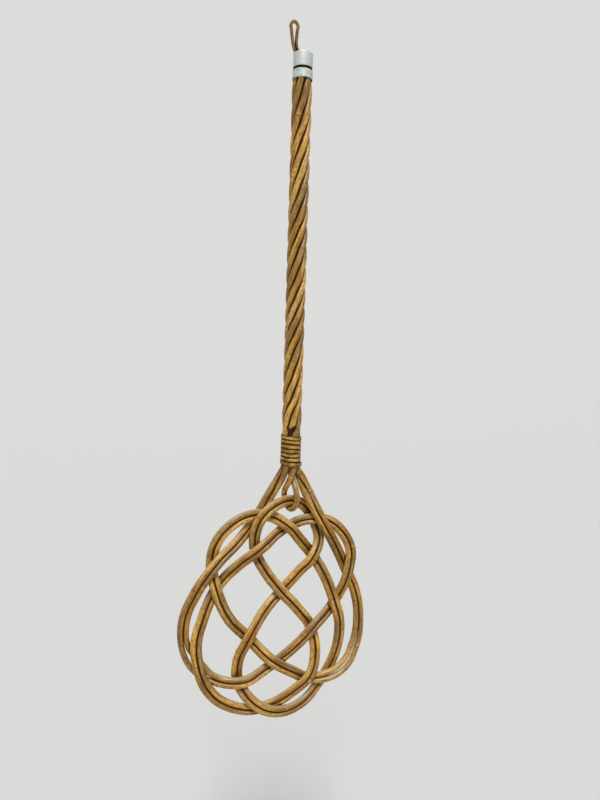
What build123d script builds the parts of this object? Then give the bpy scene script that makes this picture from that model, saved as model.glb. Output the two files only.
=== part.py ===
"""Carpet beater: three doubled canes twisted into a handle and woven into a flat open knot.

Millimetres, +Z up. The origin is at the inside top of the hanging loop, where the peg carries
the beater. +X is to the right of the flat head, +Y is behind it, and the head hangs below.
Everything is drawn round the handle's axis and moved to that origin at the end.
"""
import math
import os

from build123d import *

STRAIGHT = 1e-6  # how close to parallel counts as straight
GAP_SAMPLES = 12  # points measured in each quarter turn

# driving dimensions
handle_length = 493.0  # from the neck to the top rim of the ferrule
head_height = 330.0  # from the neck to the bottom of the knot, on the canes' centre lines
head_width = 250.0
loop_rise = 35.4  # from the ferrule's rim to the inside of the hanging loop's bend
cane_diameter = 6.9
seat_gap = 0.2  # between a piece and what it sits on
weave_gap = 0.3  # between canes that cross

# the ring of six canes round the core of the handle
slot_count = 6
handle_ring_radius = 8.45
binding_ring_radius = 7.8
neck_ring_radius = 8.6
collar_ring_radius = 7.75
cap_ring_radius = 7.35
neck_slot_angle = 39.0
# heights at which the twist has moved each cane on by one slot, as shares of the handle
sixth_turn_shares = [
    0.0, 0.068, 0.135, 0.18, 0.234, 0.29, 0.336, 0.38, 0.426, 0.474,
    0.527, 0.577, 0.623, 0.675, 0.732, 0.786, 0.842, 0.91, 0.99,
]
# slots of the canes, counted round the ring from the right, behind, at the neck
inner_right_slot = 0
staple_rear_slot = 1
outer_left_slot = 2
inner_left_slot = 3
staple_front_slot = 4
outer_right_slot = 5

# binding of split cane round the neck
binding_turns = 7
binding_pitch = 5.3
binding_strip_width = 4.7
binding_strip_thickness = 1.2
binding_start_height = 2.6
binding_neck_swell = 1.75  # how much wider the lowest turn is
binding_tail_length = 5.2

# ferrule: a cap and a separate collar below it
cap_height = 16.5
cap_wall = 0.7
ferrule_gap = 2.8
collar_height = 10.3
collar_wall = 0.7
cane_end_depth = 7.0  # of the canes' cut ends below the rim

# pieces that stop inside the handle
left_cane_end_height = 30.0
splice_start_height = 49.0
splice_top_depth = 12.6
core_start_height = 8.0
core_gap = 0.5  # between the core and the canes, which run a little inside their ring
core_lower_taper_length = 28.0
core_upper_taper_length = 16.0
core_end_chamfer = 0.8

# hanging loop
loop_strand_diameter = 3.6
loop_bend_radius = 4.4
loop_leg_start_depth = 12.3
loop_leg_straight_rise = 1.0
loop_waist_height = 8.5
loop_shoulder_height = 27.0
loop_setback = 4.0
loop_waist_setback = 3.0
loop_centre_offset = 10.5
loop_waist_offset = 9.2
loop_waist_spacing = 4.1
loop_shoulder_spacing = 7.4

# levels and radii that follow
neck_level = -(handle_length + loop_rise)
rim_level = -loop_rise
cane_radius = cane_diameter / 2
weave_lift = (cane_diameter + weave_gap) / 2
cap_bottom_level = rim_level - cap_height
collar_top_level = cap_bottom_level - ferrule_gap
collar_bottom_level = collar_top_level - collar_height
binding_top_height = binding_start_height + binding_turns * binding_pitch

# The knot's route, followed by both canes side by side. Each row is one point: how far right and
# how far down as shares of the head, how many lifts behind, and the pair's spread in cane widths.
down_left_shares = [
    (-0.084, 0.094, 1.6, 1.05),
    (-0.15, 0.186, 2.6, 1.02),
    (-0.23, 0.258, 1.6, 1.05),
    (-0.384, 0.354, -2.0, 1.06),
    (-0.464, 0.446, -1.0, 1.064),
    (-0.514, 0.546, 0.0, 1.04),
    (-0.51, 0.644, 0.6, 1.09),
    (-0.446, 0.734, 1.4, 1.75),
    (-0.368, 0.79, 1.2, 1.1),
    (-0.242, 0.81, -1.2, 1.08),
    (-0.066, 0.778, 1.35, 1.048),
]
up_to_right_loop_shares = [
    (0.07, 0.7, 0.0, 1.04),
    (0.144, 0.636, -1.3, 1.08),
    (0.276, 0.558, 1.6, 1.08),
    (0.336, 0.42, -1.3, 1.04),
    (0.346, 0.34, -1.0, 1.024),
    (0.306, 0.274, -0.4, 1.032),
    (0.238, 0.226, 0.2, 1.032),
    (0.16, 0.206, -0.2, 1.024),
    (0.08, 0.21, 0.6, 1.032),
    (0.002, 0.234, 1.3, 1.032),
]
down_to_left_foot_shares = [
    (-0.17, 0.312, -1.5, 1.024),
    (-0.246, 0.358, 0.2, 1.032),
    (-0.358, 0.454, 2.1, 1.032),
    (-0.422, 0.542, 0.0, 1.024),
    (-0.458, 0.644, -1.0, 1.024),
    (-0.444, 0.728, -1.4, 1.024),
    (-0.392, 0.824, -0.6, 1.032),
    (-0.28, 0.906, 0.6, 1.04),
    (-0.14, 0.942, 1.3, 1.04),
]
up_to_arch_shares = [
    (-0.048, 0.93, 0.9, 1.04),
    (0.052, 0.88, -1.0, 1.048),
    (0.128, 0.828, -2.0, 1.048),
    (0.166, 0.732, -0.6, 1.04),
    (0.152, 0.654, 1.3, 1.04),
    (0.056, 0.55, 0.0, 1.048),
    (-0.032, 0.476, -1.3, 1.056),
    (-0.108, 0.402, 0.2, 1.04),
    (-0.16, 0.326, 1.5, 1.024),
    (-0.174, 0.254, 0.0, 1.036),
    (-0.152, 0.182, -2.4, 1.036),
    (-0.082, 0.14, -1.9, 1.04),
    (0.012, 0.13, 0.4, 1.056),
    (0.084, 0.152, 1.8, 1.04),
]
down_to_right_foot_shares = [
    (0.144, 0.21, 2.2, 1.024),
    (0.17, 0.294, 0.3, 1.032),
    (0.132, 0.348, -1.4, 1.048),
    (0.058, 0.414, 0.0, 1.048),
    (-0.02, 0.484, 1.3, 1.048),
    (-0.108, 0.544, 0.0, 1.04),
    (-0.194, 0.638, -1.3, 1.04),
    (-0.244, 0.736, 0.2, 1.032),
    (-0.236, 0.818, 1.3, 1.04),
    (-0.172, 0.892, -1.4, 1.048),
    (-0.016, 0.954, -1.2, 1.04),
    (0.116, 0.94, 0.4, 1.048),
]
up_to_left_loop_shares = [
    (0.22, 0.874, 2.0, 1.048),
    (0.292, 0.756, 0.8, 1.048),
    (0.3, 0.64, -0.6, 1.04),
    (0.254, 0.528, -1.6, 1.048),
    (0.202, 0.428, -0.2, 1.032),
    (0.146, 0.356, 1.5, 1.024),
    (0.07, 0.288, 0.0, 1.04),
    (-0.004, 0.226, -1.2, 1.048),
    (-0.106, 0.182, 0.2, 1.04),
    (-0.172, 0.176, 0.2, 1.04),
    (-0.29, 0.206, 0.0, 1.04),
    (-0.364, 0.272, 0.6, 1.032),
]
across_to_right_shares = [
    (-0.384, 0.364, 1.0, 1.032),
    (-0.366, 0.44, -1.0, 1.032),
    (-0.298, 0.558, 0.0, 1.024),
    (-0.194, 0.65, 1.3, 1.024),
    (-0.072, 0.744, -1.35, 1.048),
    (0.036, 0.804, 0.0, 1.08),
    (0.144, 0.85, 0.9, 1.12),
    (0.21, 0.846, -0.9, 1.28),
]
up_to_neck_shares = [
    (0.33, 0.81, -1.2, 1.48),
    (0.4, 0.728, 0.0, 1.32),
    (0.418, 0.622, 0.6, 1.048),
    (0.394, 0.516, 1.1, 1.024),
    (0.342, 0.43, 1.5, 1.024),
    (0.25, 0.308, -1.2, 1.04),
    (0.154, 0.19, -2.2, 1.032),
    (0.078, 0.078, -0.8, 1.06),
]
knot_route_shares = (
    down_left_shares
    + up_to_right_loop_shares
    + down_to_left_foot_shares
    + up_to_arch_shares
    + down_to_right_foot_shares
    + up_to_left_loop_shares
    + across_to_right_shares
    + up_to_neck_shares
)

# where each cane passes just below the neck: right and down as shares, and lifts behind
outer_left_throat_share = (-0.056, 0.032, 1.7)
inner_left_throat_share = (-0.034, 0.03, -0.5)
outer_right_throat_share = (0.064, 0.03, -1.3)
inner_right_throat_share = (0.046, 0.034, 0.95)

# the staple's hairpin round the top of the arch, in the same terms
staple_route_shares = [
    (-0.004, 0.03, -2.0),
    (-0.014, 0.058, -1.1),
    (-0.02, 0.09, 1.0),
    (-0.014, 0.122, 2.3),
    (-0.006, 0.148, 2.2),
    (0.003, 0.167, 1.1),
    (0.014, 0.167, -0.8),
    (0.023, 0.149, -2.1),
    (0.028, 0.122, -2.4),
    (0.024, 0.09, -2.2),
    (0.018, 0.058, -0.6),
    (0.012, 0.03, 1.3),
]


def circle_rule_tangents(points, first, last):
    """Tangents of a smooth run through the points, with the end tangents given."""
    tangents = [first]
    for before, here, after in zip(points, points[1:], points[2:]):
        back = here - before
        ahead = after - here
        tangents.append((back * ahead.length**2 + ahead * back.length**2).normalized())
    tangents.append(last)
    return tangents


def biarc_edges(start, start_tangent, end, end_tangent):
    """Two arcs that meet smoothly, or one line where the run is straight."""
    chord = end - start
    if (chord.normalized() - start_tangent).length < STRAIGHT and (
        chord.normalized() - end_tangent
    ).length < STRAIGHT:
        return [Edge.make_line(start, end)]
    both = start_tangent + end_tangent
    spread = 2 * (1 - start_tangent.dot(end_tangent))
    along = chord.dot(both)
    if spread < STRAIGHT:
        reach = chord.dot(chord) / (2 * along)
    else:
        reach = (math.sqrt(along**2 + spread * chord.dot(chord)) - along) / spread
    joint = (start + end + (start_tangent - end_tangent) * reach) / 2
    first_chord = (joint - start).normalized()
    joint_tangent = first_chord * (2 * start_tangent.dot(first_chord)) - start_tangent
    return [
        Edge.make_tangent_arc(start, start_tangent, joint),
        Edge.make_tangent_arc(joint, joint_tangent, end),
    ]


def smooth_path(points, tangents):
    """One wire of biarcs through the points."""
    edges = []
    for index in range(len(points) - 1):
        edges += biarc_edges(points[index], tangents[index], points[index + 1], tangents[index + 1])
    return Wire(edges)


def rod(path, diameter):
    """A round rod along a path."""
    section = Plane(origin=path @ 0, z_dir=path % 0) * Circle(diameter / 2)
    return sweep(section, path=path)


def turned_slots(height):
    """How many slots the twist has moved the canes on at a height above the neck."""
    share = height / handle_length
    for index in range(1, len(sixth_turn_shares)):
        low = sixth_turn_shares[index - 1]
        high = sixth_turn_shares[index]
        if share <= high or index == len(sixth_turn_shares) - 1:
            return index - 1 + (share - low) / (high - low)


def ring_point(slot, height, radius):
    """Centre of the cane in a slot at a height above the neck."""
    angle = math.radians(neck_slot_angle + 360 / slot_count * (slot + turned_slots(height)))
    return Vector(radius * math.cos(angle), radius * math.sin(angle), neck_level + height)


def handle_stations():
    """Heights and ring radii that every cane of the handle passes, from the neck up."""
    binding_low = binding_start_height + binding_pitch
    stations = [(0.0, neck_ring_radius), (binding_low, binding_ring_radius)]
    stations.append((sixth_turn_shares[1] * handle_length, binding_ring_radius))
    stations.append((binding_top_height, binding_ring_radius))
    for share in sixth_turn_shares[2:-1]:
        stations.append((share * handle_length, handle_ring_radius))
    stations.append((collar_bottom_level - neck_level, collar_ring_radius))
    stations.append((cap_bottom_level - neck_level, cap_ring_radius))
    return stations


def handle_run(slot, start_height, end_height):
    """Points of the cane in a slot between two heights above the neck."""
    stations = handle_stations()
    run = [station for station in stations if start_height < station[0] < end_height]
    if start_height == 0:
        run = stations[:1] + run
    else:
        run = [(start_height, binding_ring_radius)] + run
    end_radius = cap_ring_radius if end_height > stations[-1][0] else binding_ring_radius
    run.append((end_height, end_radius))
    return [ring_point(slot, height, radius) for height, radius in run]


def head_point(right_share, down_share, lifts):
    """A point of the head from its shares and its lifts behind the middle plane."""
    return Vector(
        right_share * head_width,
        lifts * weave_lift,
        neck_level - down_share * head_height,
    )


def end_tangent(points):
    """Tangent at the last point that carries the last bend on."""
    chord = (points[-1] - points[-2]).normalized()
    before = (points[-2] - points[-3]).normalized()
    return (chord * (2 * chord.dot(before)) - before).normalized()


def cane_path(points):
    """A smooth wire through points, its ends carrying on their last bends."""
    first = end_tangent(points[::-1]) * -1
    tangents = circle_rule_tangents(points, first, end_tangent(points))
    return smooth_path(points, tangents)


def knot_points(side):
    """The knot's route moved to one side of the pair, as seen from the front."""
    middle = [head_point(row[0], row[1], row[2]) for row in knot_route_shares]
    first = (middle[1] - middle[0]).normalized()
    last = (middle[-1] - middle[-2]).normalized()
    points = []
    for here, tangent, row in zip(middle, circle_rule_tangents(middle, first, last), knot_route_shares):
        sideways = Vector(tangent.Z, 0, -tangent.X).normalized()
        points.append(here + sideways * (side * row[3] * cane_radius))
    return points


def make_knot_cane(side, left_slot, left_end, left_throat, right_slot, right_throat):
    """One cane of the pair: down from the handle, through the knot and up again."""
    cane_top = handle_length - cane_end_depth
    left = handle_run(left_slot, 0, left_end)[::-1]
    right = handle_run(right_slot, 0, cane_top)
    head = [head_point(*left_throat)] + knot_points(side) + [head_point(*right_throat)]
    return left + head + right


def make_staple_points():
    """The hairpin from the front slot round the arch and back up to the rear slot."""
    cane_top = handle_length - cane_end_depth
    front = handle_run(staple_front_slot, 0, cane_top)[::-1]
    rear = handle_run(staple_rear_slot, 0, cane_top)
    return front + [head_point(*row) for row in staple_route_shares] + rear


def make_core():
    """The straight stick inside the canes, thinner at both ends, up to the loop's legs."""
    handle_core = handle_ring_radius - cane_radius - core_gap
    neck_core = binding_ring_radius - cane_radius - core_gap
    top_core = cap_ring_radius - cane_radius - core_gap
    bottom = neck_level + core_start_height
    top = rim_level - splice_top_depth
    binding_top = neck_level + binding_top_height
    outline = Polyline(
        (0, bottom),
        (neck_core - core_end_chamfer, bottom),
        (neck_core, bottom + core_end_chamfer),
        (neck_core, binding_top),
        (handle_core, binding_top + core_lower_taper_length),
        (handle_core, collar_bottom_level - core_upper_taper_length),
        (top_core, collar_bottom_level),
        (top_core, top),
        (0, top),
        close=True,
    )
    return revolve(Plane.XZ * make_face(outline), Axis.Z)


def binding_point(turn):
    """A point on the binding's inner face after a number of turns from behind the neck."""
    height = binding_start_height + turn * binding_pitch
    low_share = max(0.0, 1 - turn)
    radius = binding_ring_radius + cane_radius + seat_gap + low_share * binding_neck_swell
    angle = math.radians(90 - 360 * turn)
    return Vector(radius * math.cos(angle), radius * math.sin(angle), neck_level + height)


def make_binding_path():
    """The winding's route in quarter turns, with a short straight tail at each end."""
    quarters = 4 * binding_turns
    points = [binding_point(quarter / 4) for quarter in range(quarters + 1)]
    end = Vector(2 * math.pi * binding_point(binding_turns).Y, 0, binding_pitch).normalized()
    tail = end * binding_tail_length
    tangents = circle_rule_tangents(points, end, end)
    edges = [Edge.make_line(points[0] - tail, points[0])]
    for index in range(quarters):
        edges += biarc_edges(points[index], tangents[index], points[index + 1], tangents[index + 1])
    edges.append(Edge.make_line(points[-1], points[-1] + tail))
    return Wire(edges)


def make_binding(path):
    """Split cane wound round the neck: flat inside and round outside."""
    start = path @ 0
    tangent = path % 0
    outward = Vector(0, 0, 1).cross(tangent)
    section_plane = Plane(origin=start, x_dir=outward, z_dir=tangent)
    half = binding_strip_width / 2
    outline = Wire(
        [
            Edge.make_line((0, -half), (0, half)),
            Edge.make_three_point_arc((0, half), (binding_strip_thickness, 0), (0, -half)),
        ]
    )
    guide = path.moved(Location((0, 0, binding_pitch)))
    return sweep(section_plane * make_face(outline), path=path, binormal=guide)


def make_tube(bottom, height, inner_radius, wall):
    """A ferrule ring with its outer edges broken."""
    outer_radius = inner_radius + wall
    edge_break = wall / 3
    outline = Polyline(
        (inner_radius, bottom),
        (outer_radius - edge_break, bottom),
        (outer_radius, bottom + edge_break),
        (outer_radius, bottom + height - edge_break),
        (outer_radius - edge_break, bottom + height),
        (inner_radius, bottom + height),
        close=True,
    )
    return revolve(Plane.XZ * make_face(outline), Axis.Z)


def make_cap():
    """The open-topped metal cap."""
    inner = cap_ring_radius + cane_radius + seat_gap
    return make_tube(cap_bottom_level, cap_height, inner, cap_wall)


def make_collar():
    """The separate metal ring below the cap."""
    inner = collar_ring_radius + cane_radius + seat_gap
    return make_tube(collar_bottom_level, collar_height, inner, collar_wall)


def loop_points():
    """The hanging loop's centre line: up from the ferrule, round the bend and down again."""
    strand_radius = loop_strand_diameter / 2
    slots_on = outer_left_slot + len(sixth_turn_shares) - 1
    slot_angle = math.radians(neck_slot_angle + 360 / slot_count * slots_on)
    outer_reach = cap_ring_radius + cane_radius - strand_radius
    inner_reach = outer_reach - loop_strand_diameter - seat_gap
    points = []
    for side, reach in ((1, outer_reach), (-1, inner_reach)):
        foot = Vector(reach * math.cos(slot_angle), reach * math.sin(slot_angle), 0)
        waist = -loop_waist_offset - side * loop_waist_spacing / 2
        shoulder = -loop_centre_offset - side * loop_shoulder_spacing / 2
        leg = [
            foot + Vector(0, 0, rim_level - loop_leg_start_depth),
            foot + Vector(0, 0, rim_level + loop_leg_straight_rise),
            Vector(waist, loop_waist_setback, rim_level + loop_waist_height),
            Vector(shoulder, loop_setback, rim_level + loop_shoulder_height),
        ]
        bend_side = Vector(-loop_centre_offset - side * loop_bend_radius, loop_setback, bend_level())
        leg.append(bend_side)
        points.append(leg)
    bend_top = Vector(-loop_centre_offset, loop_setback, bend_level() + loop_bend_radius)
    return points[0] + [bend_top] + points[1][::-1]


def bend_level():
    """Level of the centre of the hanging loop's bend: its inside top is at the origin's level."""
    return loop_strand_diameter / 2 - loop_bend_radius


def make_loop():
    """The thin cane hairpin that the beater hangs by."""
    points = loop_points()
    up = Vector(0, 0, 1)
    tangents = circle_rule_tangents(points, up, up * -1)
    return rod(smooth_path(points, tangents), loop_strand_diameter)


def binding_gap(path):
    """Least clear height between turns of the binding, measured on points a quarter turn long."""
    steps = 4 * binding_turns * GAP_SAMPLES
    samples = [path @ (index / steps) for index in range(steps + 1)]
    half_turn = 2 * GAP_SAMPLES
    least = path.length
    for index, sample in enumerate(samples):
        for other in samples[index + half_turn :]:
            least = min(least, (sample - other).length)
    return least - binding_strip_width


outer_route = make_knot_cane(
    1,
    outer_left_slot,
    left_cane_end_height,
    outer_left_throat_share,
    outer_right_slot,
    outer_right_throat_share,
)
inner_route = make_knot_cane(
    -1,
    inner_left_slot,
    handle_length - cane_end_depth,
    inner_left_throat_share,
    inner_right_slot,
    inner_right_throat_share,
)
splice_route = handle_run(
    outer_left_slot, splice_start_height, handle_length - splice_top_depth
)

outer_path = cane_path(outer_route)
inner_path = cane_path(inner_route)
staple_path = cane_path(make_staple_points())
splice_path = cane_path(splice_route)
binding_path = make_binding_path()
print("least gap of the binding to itself:", round(binding_gap(binding_path), 2))

nodes = {
    "knot_cane_outer": rod(outer_path, cane_diameter),
    "knot_cane_inner": rod(inner_path, cane_diameter),
    "staple_cane": rod(staple_path, cane_diameter),
    "splice_cane": rod(splice_path, cane_diameter),
    "core_cane": make_core(),
    "neck_binding": make_binding(binding_path),
    "ferrule_cap": make_cap(),
    "ferrule_collar": make_collar(),
    "hanging_loop": make_loop(),
}
to_the_peg = Location((loop_centre_offset, -loop_setback, 0))
os.makedirs("parts", exist_ok=True)
for name, solid in nodes.items():
    export_step(solid.moved(to_the_peg), f"parts/{name}.step")
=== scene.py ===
"""Carpet beater: the looks of the woven canes, the binding, the ferrule and the hanging loop.

Sizes are millimetres in the part's frame and turn into metres where a mesh is made. The canes
follow the routes of the part's source, drawn a little fuller and moved slightly at the neck and at
the hairpin's bend. Each vertex of a cane also keeps its place on the straight cane before bending,
so that the grain runs along the bends.
"""
import math
import random
from collections import namedtuple

import bpy
from mathutils import Matrix, Vector, kdtree, noise


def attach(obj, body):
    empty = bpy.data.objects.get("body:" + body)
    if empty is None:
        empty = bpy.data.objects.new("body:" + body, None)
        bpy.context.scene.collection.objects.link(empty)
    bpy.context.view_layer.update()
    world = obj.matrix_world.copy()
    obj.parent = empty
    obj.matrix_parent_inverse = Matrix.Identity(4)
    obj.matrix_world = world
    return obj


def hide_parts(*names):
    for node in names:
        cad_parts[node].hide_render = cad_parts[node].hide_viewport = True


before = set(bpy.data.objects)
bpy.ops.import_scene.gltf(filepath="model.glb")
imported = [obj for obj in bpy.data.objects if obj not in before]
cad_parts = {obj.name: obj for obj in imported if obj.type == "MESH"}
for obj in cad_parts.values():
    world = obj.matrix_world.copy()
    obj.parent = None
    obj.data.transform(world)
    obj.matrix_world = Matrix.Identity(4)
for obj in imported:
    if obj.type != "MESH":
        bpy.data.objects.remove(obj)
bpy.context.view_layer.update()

MM = 0.001  # in metres
STRAIGHT = 1e-6  # share of a chord below which an arc is a line

# sockets of the mix node that carry colours; others have the same names
FIRST_COLOUR = 6
SECOND_COLOUR = 7
MIXED_COLOUR = 2

# driving dimensions, as in the part's source
handle_length = 493.0
head_height = 330.0
head_width = 250.0
loop_rise = 35.4
cane_diameter = 6.9
seat_gap = 0.2
weave_gap = 0.3
axis_right = 10.5  # of the handle's axis, from the origin at the loop's inside top
axis_behind = -4.0

# the ring of six canes round the core of the handle
slot_count = 6
slot_step = 360 / slot_count
handle_ring_radius = 8.45
binding_ring_radius = 7.8
neck_ring_radius = 8.6
collar_ring_radius = 7.75
cap_ring_radius = 7.35
neck_slot_angle = 39.0  # of slot 0 at the neck, in degrees
# shares of the handle's length at which the twist comes to each further sixth of a turn
sixth_turn_shares = [
    0.0, 0.068, 0.135, 0.18, 0.234, 0.29, 0.336, 0.38, 0.426, 0.474,
    0.527, 0.577, 0.623, 0.675, 0.732, 0.786, 0.842, 0.91, 0.99,
]
inner_right_slot = 0
staple_rear_slot = 1
outer_left_slot = 2
inner_left_slot = 3
staple_front_slot = 4
outer_right_slot = 5

# binding
binding_turns = 7
binding_start_angle = 90.0  # behind the neck
binding_pitch = 5.3
binding_strip_width = 4.9
binding_strip_thickness = 1.35
binding_start_height = 2.6
binding_neck_swell = 1.75
binding_tail_length = 5.2

# ferrule, and where the canes end in the handle
cap_height = 16.5
ferrule_wall = 0.7
ferrule_gap = 2.8
collar_height = 10.3
cane_end_depth = 7.0  # below the rim
left_cane_end_height = 30.0  # above the neck, under the binding
splice_start_height = 49.0  # above the neck
splice_top_depth = 12.6  # below the rim

# hanging loop
loop_strand_diameter = 3.6
loop_bend_radius = 4.4
loop_leg_start_depth = 12.3
loop_leg_straight_rise = 1.0
loop_waist_height = 8.5
loop_shoulder_height = 27.0
loop_setback = 4.0
loop_waist_setback = 3.0
loop_centre_offset = 10.5
loop_waist_offset = 9.2
loop_waist_spacing = 4.1
loop_shoulder_spacing = 7.4

# levels and radii that follow
neck_level = -(handle_length + loop_rise)
rim_level = -loop_rise
cane_radius = cane_diameter / 2
weave_lift = (cane_diameter + weave_gap) / 2
cap_bottom_level = rim_level - cap_height
collar_top_level = cap_bottom_level - ferrule_gap
collar_bottom_level = collar_top_level - collar_height
binding_top_height = binding_start_height + binding_turns * binding_pitch

# the knot's route: right and down as shares, lifts behind, and the pair's spread in cane widths
down_left_shares = [
    (-0.084, 0.094, 1.6, 1.05),
    (-0.15, 0.186, 2.6, 1.02),
    (-0.23, 0.258, 1.6, 1.05),
    (-0.384, 0.354, -2.0, 1.06),
    (-0.464, 0.446, -1.0, 1.064),
    (-0.514, 0.546, 0.0, 1.04),
    (-0.51, 0.644, 0.6, 1.09),
    (-0.446, 0.734, 1.4, 1.75),
    (-0.368, 0.79, 1.2, 1.1),
    (-0.242, 0.81, -1.2, 1.08),
    (-0.066, 0.778, 1.35, 1.048),
]
up_to_right_loop_shares = [
    (0.07, 0.7, 0.0, 1.04),
    (0.144, 0.636, -1.3, 1.08),
    (0.276, 0.558, 1.6, 1.08),
    (0.336, 0.42, -1.3, 1.04),
    (0.346, 0.34, -1.0, 1.024),
    (0.306, 0.274, -0.4, 1.032),
    (0.238, 0.226, 0.2, 1.032),
    (0.16, 0.206, -0.2, 1.024),
    (0.08, 0.21, 0.6, 1.032),
    (0.002, 0.234, 1.3, 1.032),
]
down_to_left_foot_shares = [
    (-0.17, 0.312, -1.5, 1.024),
    (-0.246, 0.358, 0.2, 1.032),
    (-0.358, 0.454, 2.1, 1.032),
    (-0.422, 0.542, 0.0, 1.024),
    (-0.458, 0.644, -1.0, 1.024),
    (-0.444, 0.728, -1.4, 1.024),
    (-0.392, 0.824, -0.6, 1.032),
    (-0.28, 0.906, 0.6, 1.04),
    (-0.14, 0.942, 1.3, 1.04),
]
up_to_arch_shares = [
    (-0.048, 0.93, 0.9, 1.04),
    (0.052, 0.88, -1.0, 1.048),
    (0.128, 0.828, -2.0, 1.048),
    (0.166, 0.732, -0.6, 1.04),
    (0.152, 0.654, 1.3, 1.04),
    (0.056, 0.55, 0.0, 1.048),
    (-0.032, 0.476, -1.3, 1.056),
    (-0.108, 0.402, 0.2, 1.04),
    (-0.16, 0.326, 1.5, 1.024),
    (-0.174, 0.254, 0.0, 1.036),
    (-0.152, 0.182, -2.4, 1.036),
    (-0.082, 0.14, -1.9, 1.04),
    (0.012, 0.13, 0.4, 1.056),
    (0.084, 0.152, 1.8, 1.04),
]
down_to_right_foot_shares = [
    (0.144, 0.21, 2.2, 1.024),
    (0.17, 0.294, 0.3, 1.032),
    (0.132, 0.348, -1.4, 1.048),
    (0.058, 0.414, 0.0, 1.048),
    (-0.02, 0.484, 1.3, 1.048),
    (-0.108, 0.544, 0.0, 1.04),
    (-0.194, 0.638, -1.3, 1.04),
    (-0.244, 0.736, 0.2, 1.032),
    (-0.236, 0.818, 1.3, 1.04),
    (-0.172, 0.892, -1.4, 1.048),
    (-0.016, 0.954, -1.2, 1.04),
    (0.116, 0.94, 0.4, 1.048),
]
up_to_left_loop_shares = [
    (0.22, 0.874, 2.0, 1.048),
    (0.292, 0.756, 0.8, 1.048),
    (0.3, 0.64, -0.6, 1.04),
    (0.254, 0.528, -1.6, 1.048),
    (0.202, 0.428, -0.2, 1.032),
    (0.146, 0.356, 1.5, 1.024),
    (0.07, 0.288, 0.0, 1.04),
    (-0.004, 0.226, -1.2, 1.048),
    (-0.106, 0.182, 0.2, 1.04),
    (-0.172, 0.176, 0.2, 1.04),
    (-0.29, 0.206, 0.0, 1.04),
    (-0.364, 0.272, 0.6, 1.032),
]
across_to_right_shares = [
    (-0.384, 0.364, 1.0, 1.032),
    (-0.366, 0.44, -1.0, 1.032),
    (-0.298, 0.558, 0.0, 1.024),
    (-0.194, 0.65, 1.3, 1.024),
    (-0.072, 0.744, -1.35, 1.048),
    (0.036, 0.804, 0.0, 1.08),
    (0.144, 0.85, 0.9, 1.12),
    (0.21, 0.846, -0.9, 1.28),
]
up_to_neck_shares = [
    (0.33, 0.81, -1.2, 1.48),
    (0.4, 0.728, 0.0, 1.32),
    (0.418, 0.622, 0.6, 1.048),
    (0.394, 0.516, 1.1, 1.024),
    (0.342, 0.43, 1.5, 1.024),
    (0.25, 0.308, -1.2, 1.04),
    (0.154, 0.19, -2.2, 1.032),
    (0.078, 0.078, -0.8, 1.06),
]
knot_route_shares = (
    down_left_shares
    + up_to_right_loop_shares
    + down_to_left_foot_shares
    + up_to_arch_shares
    + down_to_right_foot_shares
    + up_to_left_loop_shares
    + across_to_right_shares
    + up_to_neck_shares
)
# one point of each cane between the knot and the neck, and the hairpin's route, both without a
# spread
outer_left_throat_share = (-0.05, 0.032, 1.7)
inner_left_throat_share = (-0.034, 0.03, -0.5)
outer_right_throat_share = (0.057, 0.03, -1.3)
inner_right_throat_share = (0.046, 0.034, 0.95)
staple_route_shares = [
    (-0.004, 0.03, -2.0),
    (-0.014, 0.058, -1.1),
    (-0.02, 0.09, 1.0),
    (-0.014, 0.118, 2.3),
    (-0.004, 0.141, 2.2),
    (0.004, 0.159, 1.1),
    (0.014, 0.159, -0.8),
    (0.023, 0.143, -2.1),
    (0.028, 0.122, -2.4),
    (0.024, 0.09, -2.2),
    (0.018, 0.058, -0.6),
    (0.012, 0.03, 1.3),
]

# the look of the canes
random_seed = 5
sample_step = 1.25  # along a cane
cane_fullness = 0.35  # added to the canes' thickness, which closes the slits of the pairs
loop_fullness = 0.3  # the same for the loop's strand
cane_sides = 24
loop_sides = 16
end_bevel = 0.5
radius_wander = 0.09
wander_length = 28.0
grain_twist = 0.004  # in radians a millimetre, either way
grain_run = 5000.0  # from which each piece's grain is drawn
shade_and_grime_reach = 4.5  # gap to the next cane below which painted shade and some grime gather
handle_shade_and_grime_reach = 5.0  # the same in the twisted handle, whose grooves are deeper
own_reach = 20.0  # along a cane, within which it isn't its own neighbour
gap_band_margin = 1.0  # of the canes between the metal rings, which are painted dark as shade
growth_ring_rise = 0.28
growth_ring_width = 1.3
growth_ring_reach = 12.0
splice_cut_slant = 3.0  # half of what the splice's cut end rises from one side to the other
splice_cut_fade = 28.0
# growth rings, by their distance along each cane; the loop's one is hidden in the ferrule
outer_growth_rings = [
    120, 365, 640, 902, 1170, 1440, 1708, 1930, 2170, 2398, 2612, 2850, 3120, 3330,
]
inner_growth_rings = [
    150, 420, 690, 960, 1230, 1480, 1745, 1999, 2260, 2520, 2800, 3060, 3318, 3600,
]
staple_growth_rings = [95, 330, 520, 745, 1010]
splice_growth_rings = [190, 410]
loop_growth_rings = [0]

# the shape of the binding's strip
strip_steps = 64  # in a turn
strip_sides = 14  # round its outer face
strip_tail_steps = 6
strip_wander = 0.22
strip_width_wander_length = 9.0
strip_crown_wander_length = 6.0
strip_sway_length = 14.0
strip_width_row = 1.0  # of the noise that each unevenness follows
strip_crown_row = 2.0
strip_sway_row = 3.0
strip_crown_power = 0.75
lowest_turn_rise = 0.5

# the shape of the ferrule
ferrule_sides = 96
ferrule_rows = 14
ferrule_edge_radius = 0.35
ferrule_dent_length = 3.0
gap_widening = 0.25  # of each ring, at the dark gap between them
cap_dent = 0.05
collar_dent = 0.13

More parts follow.
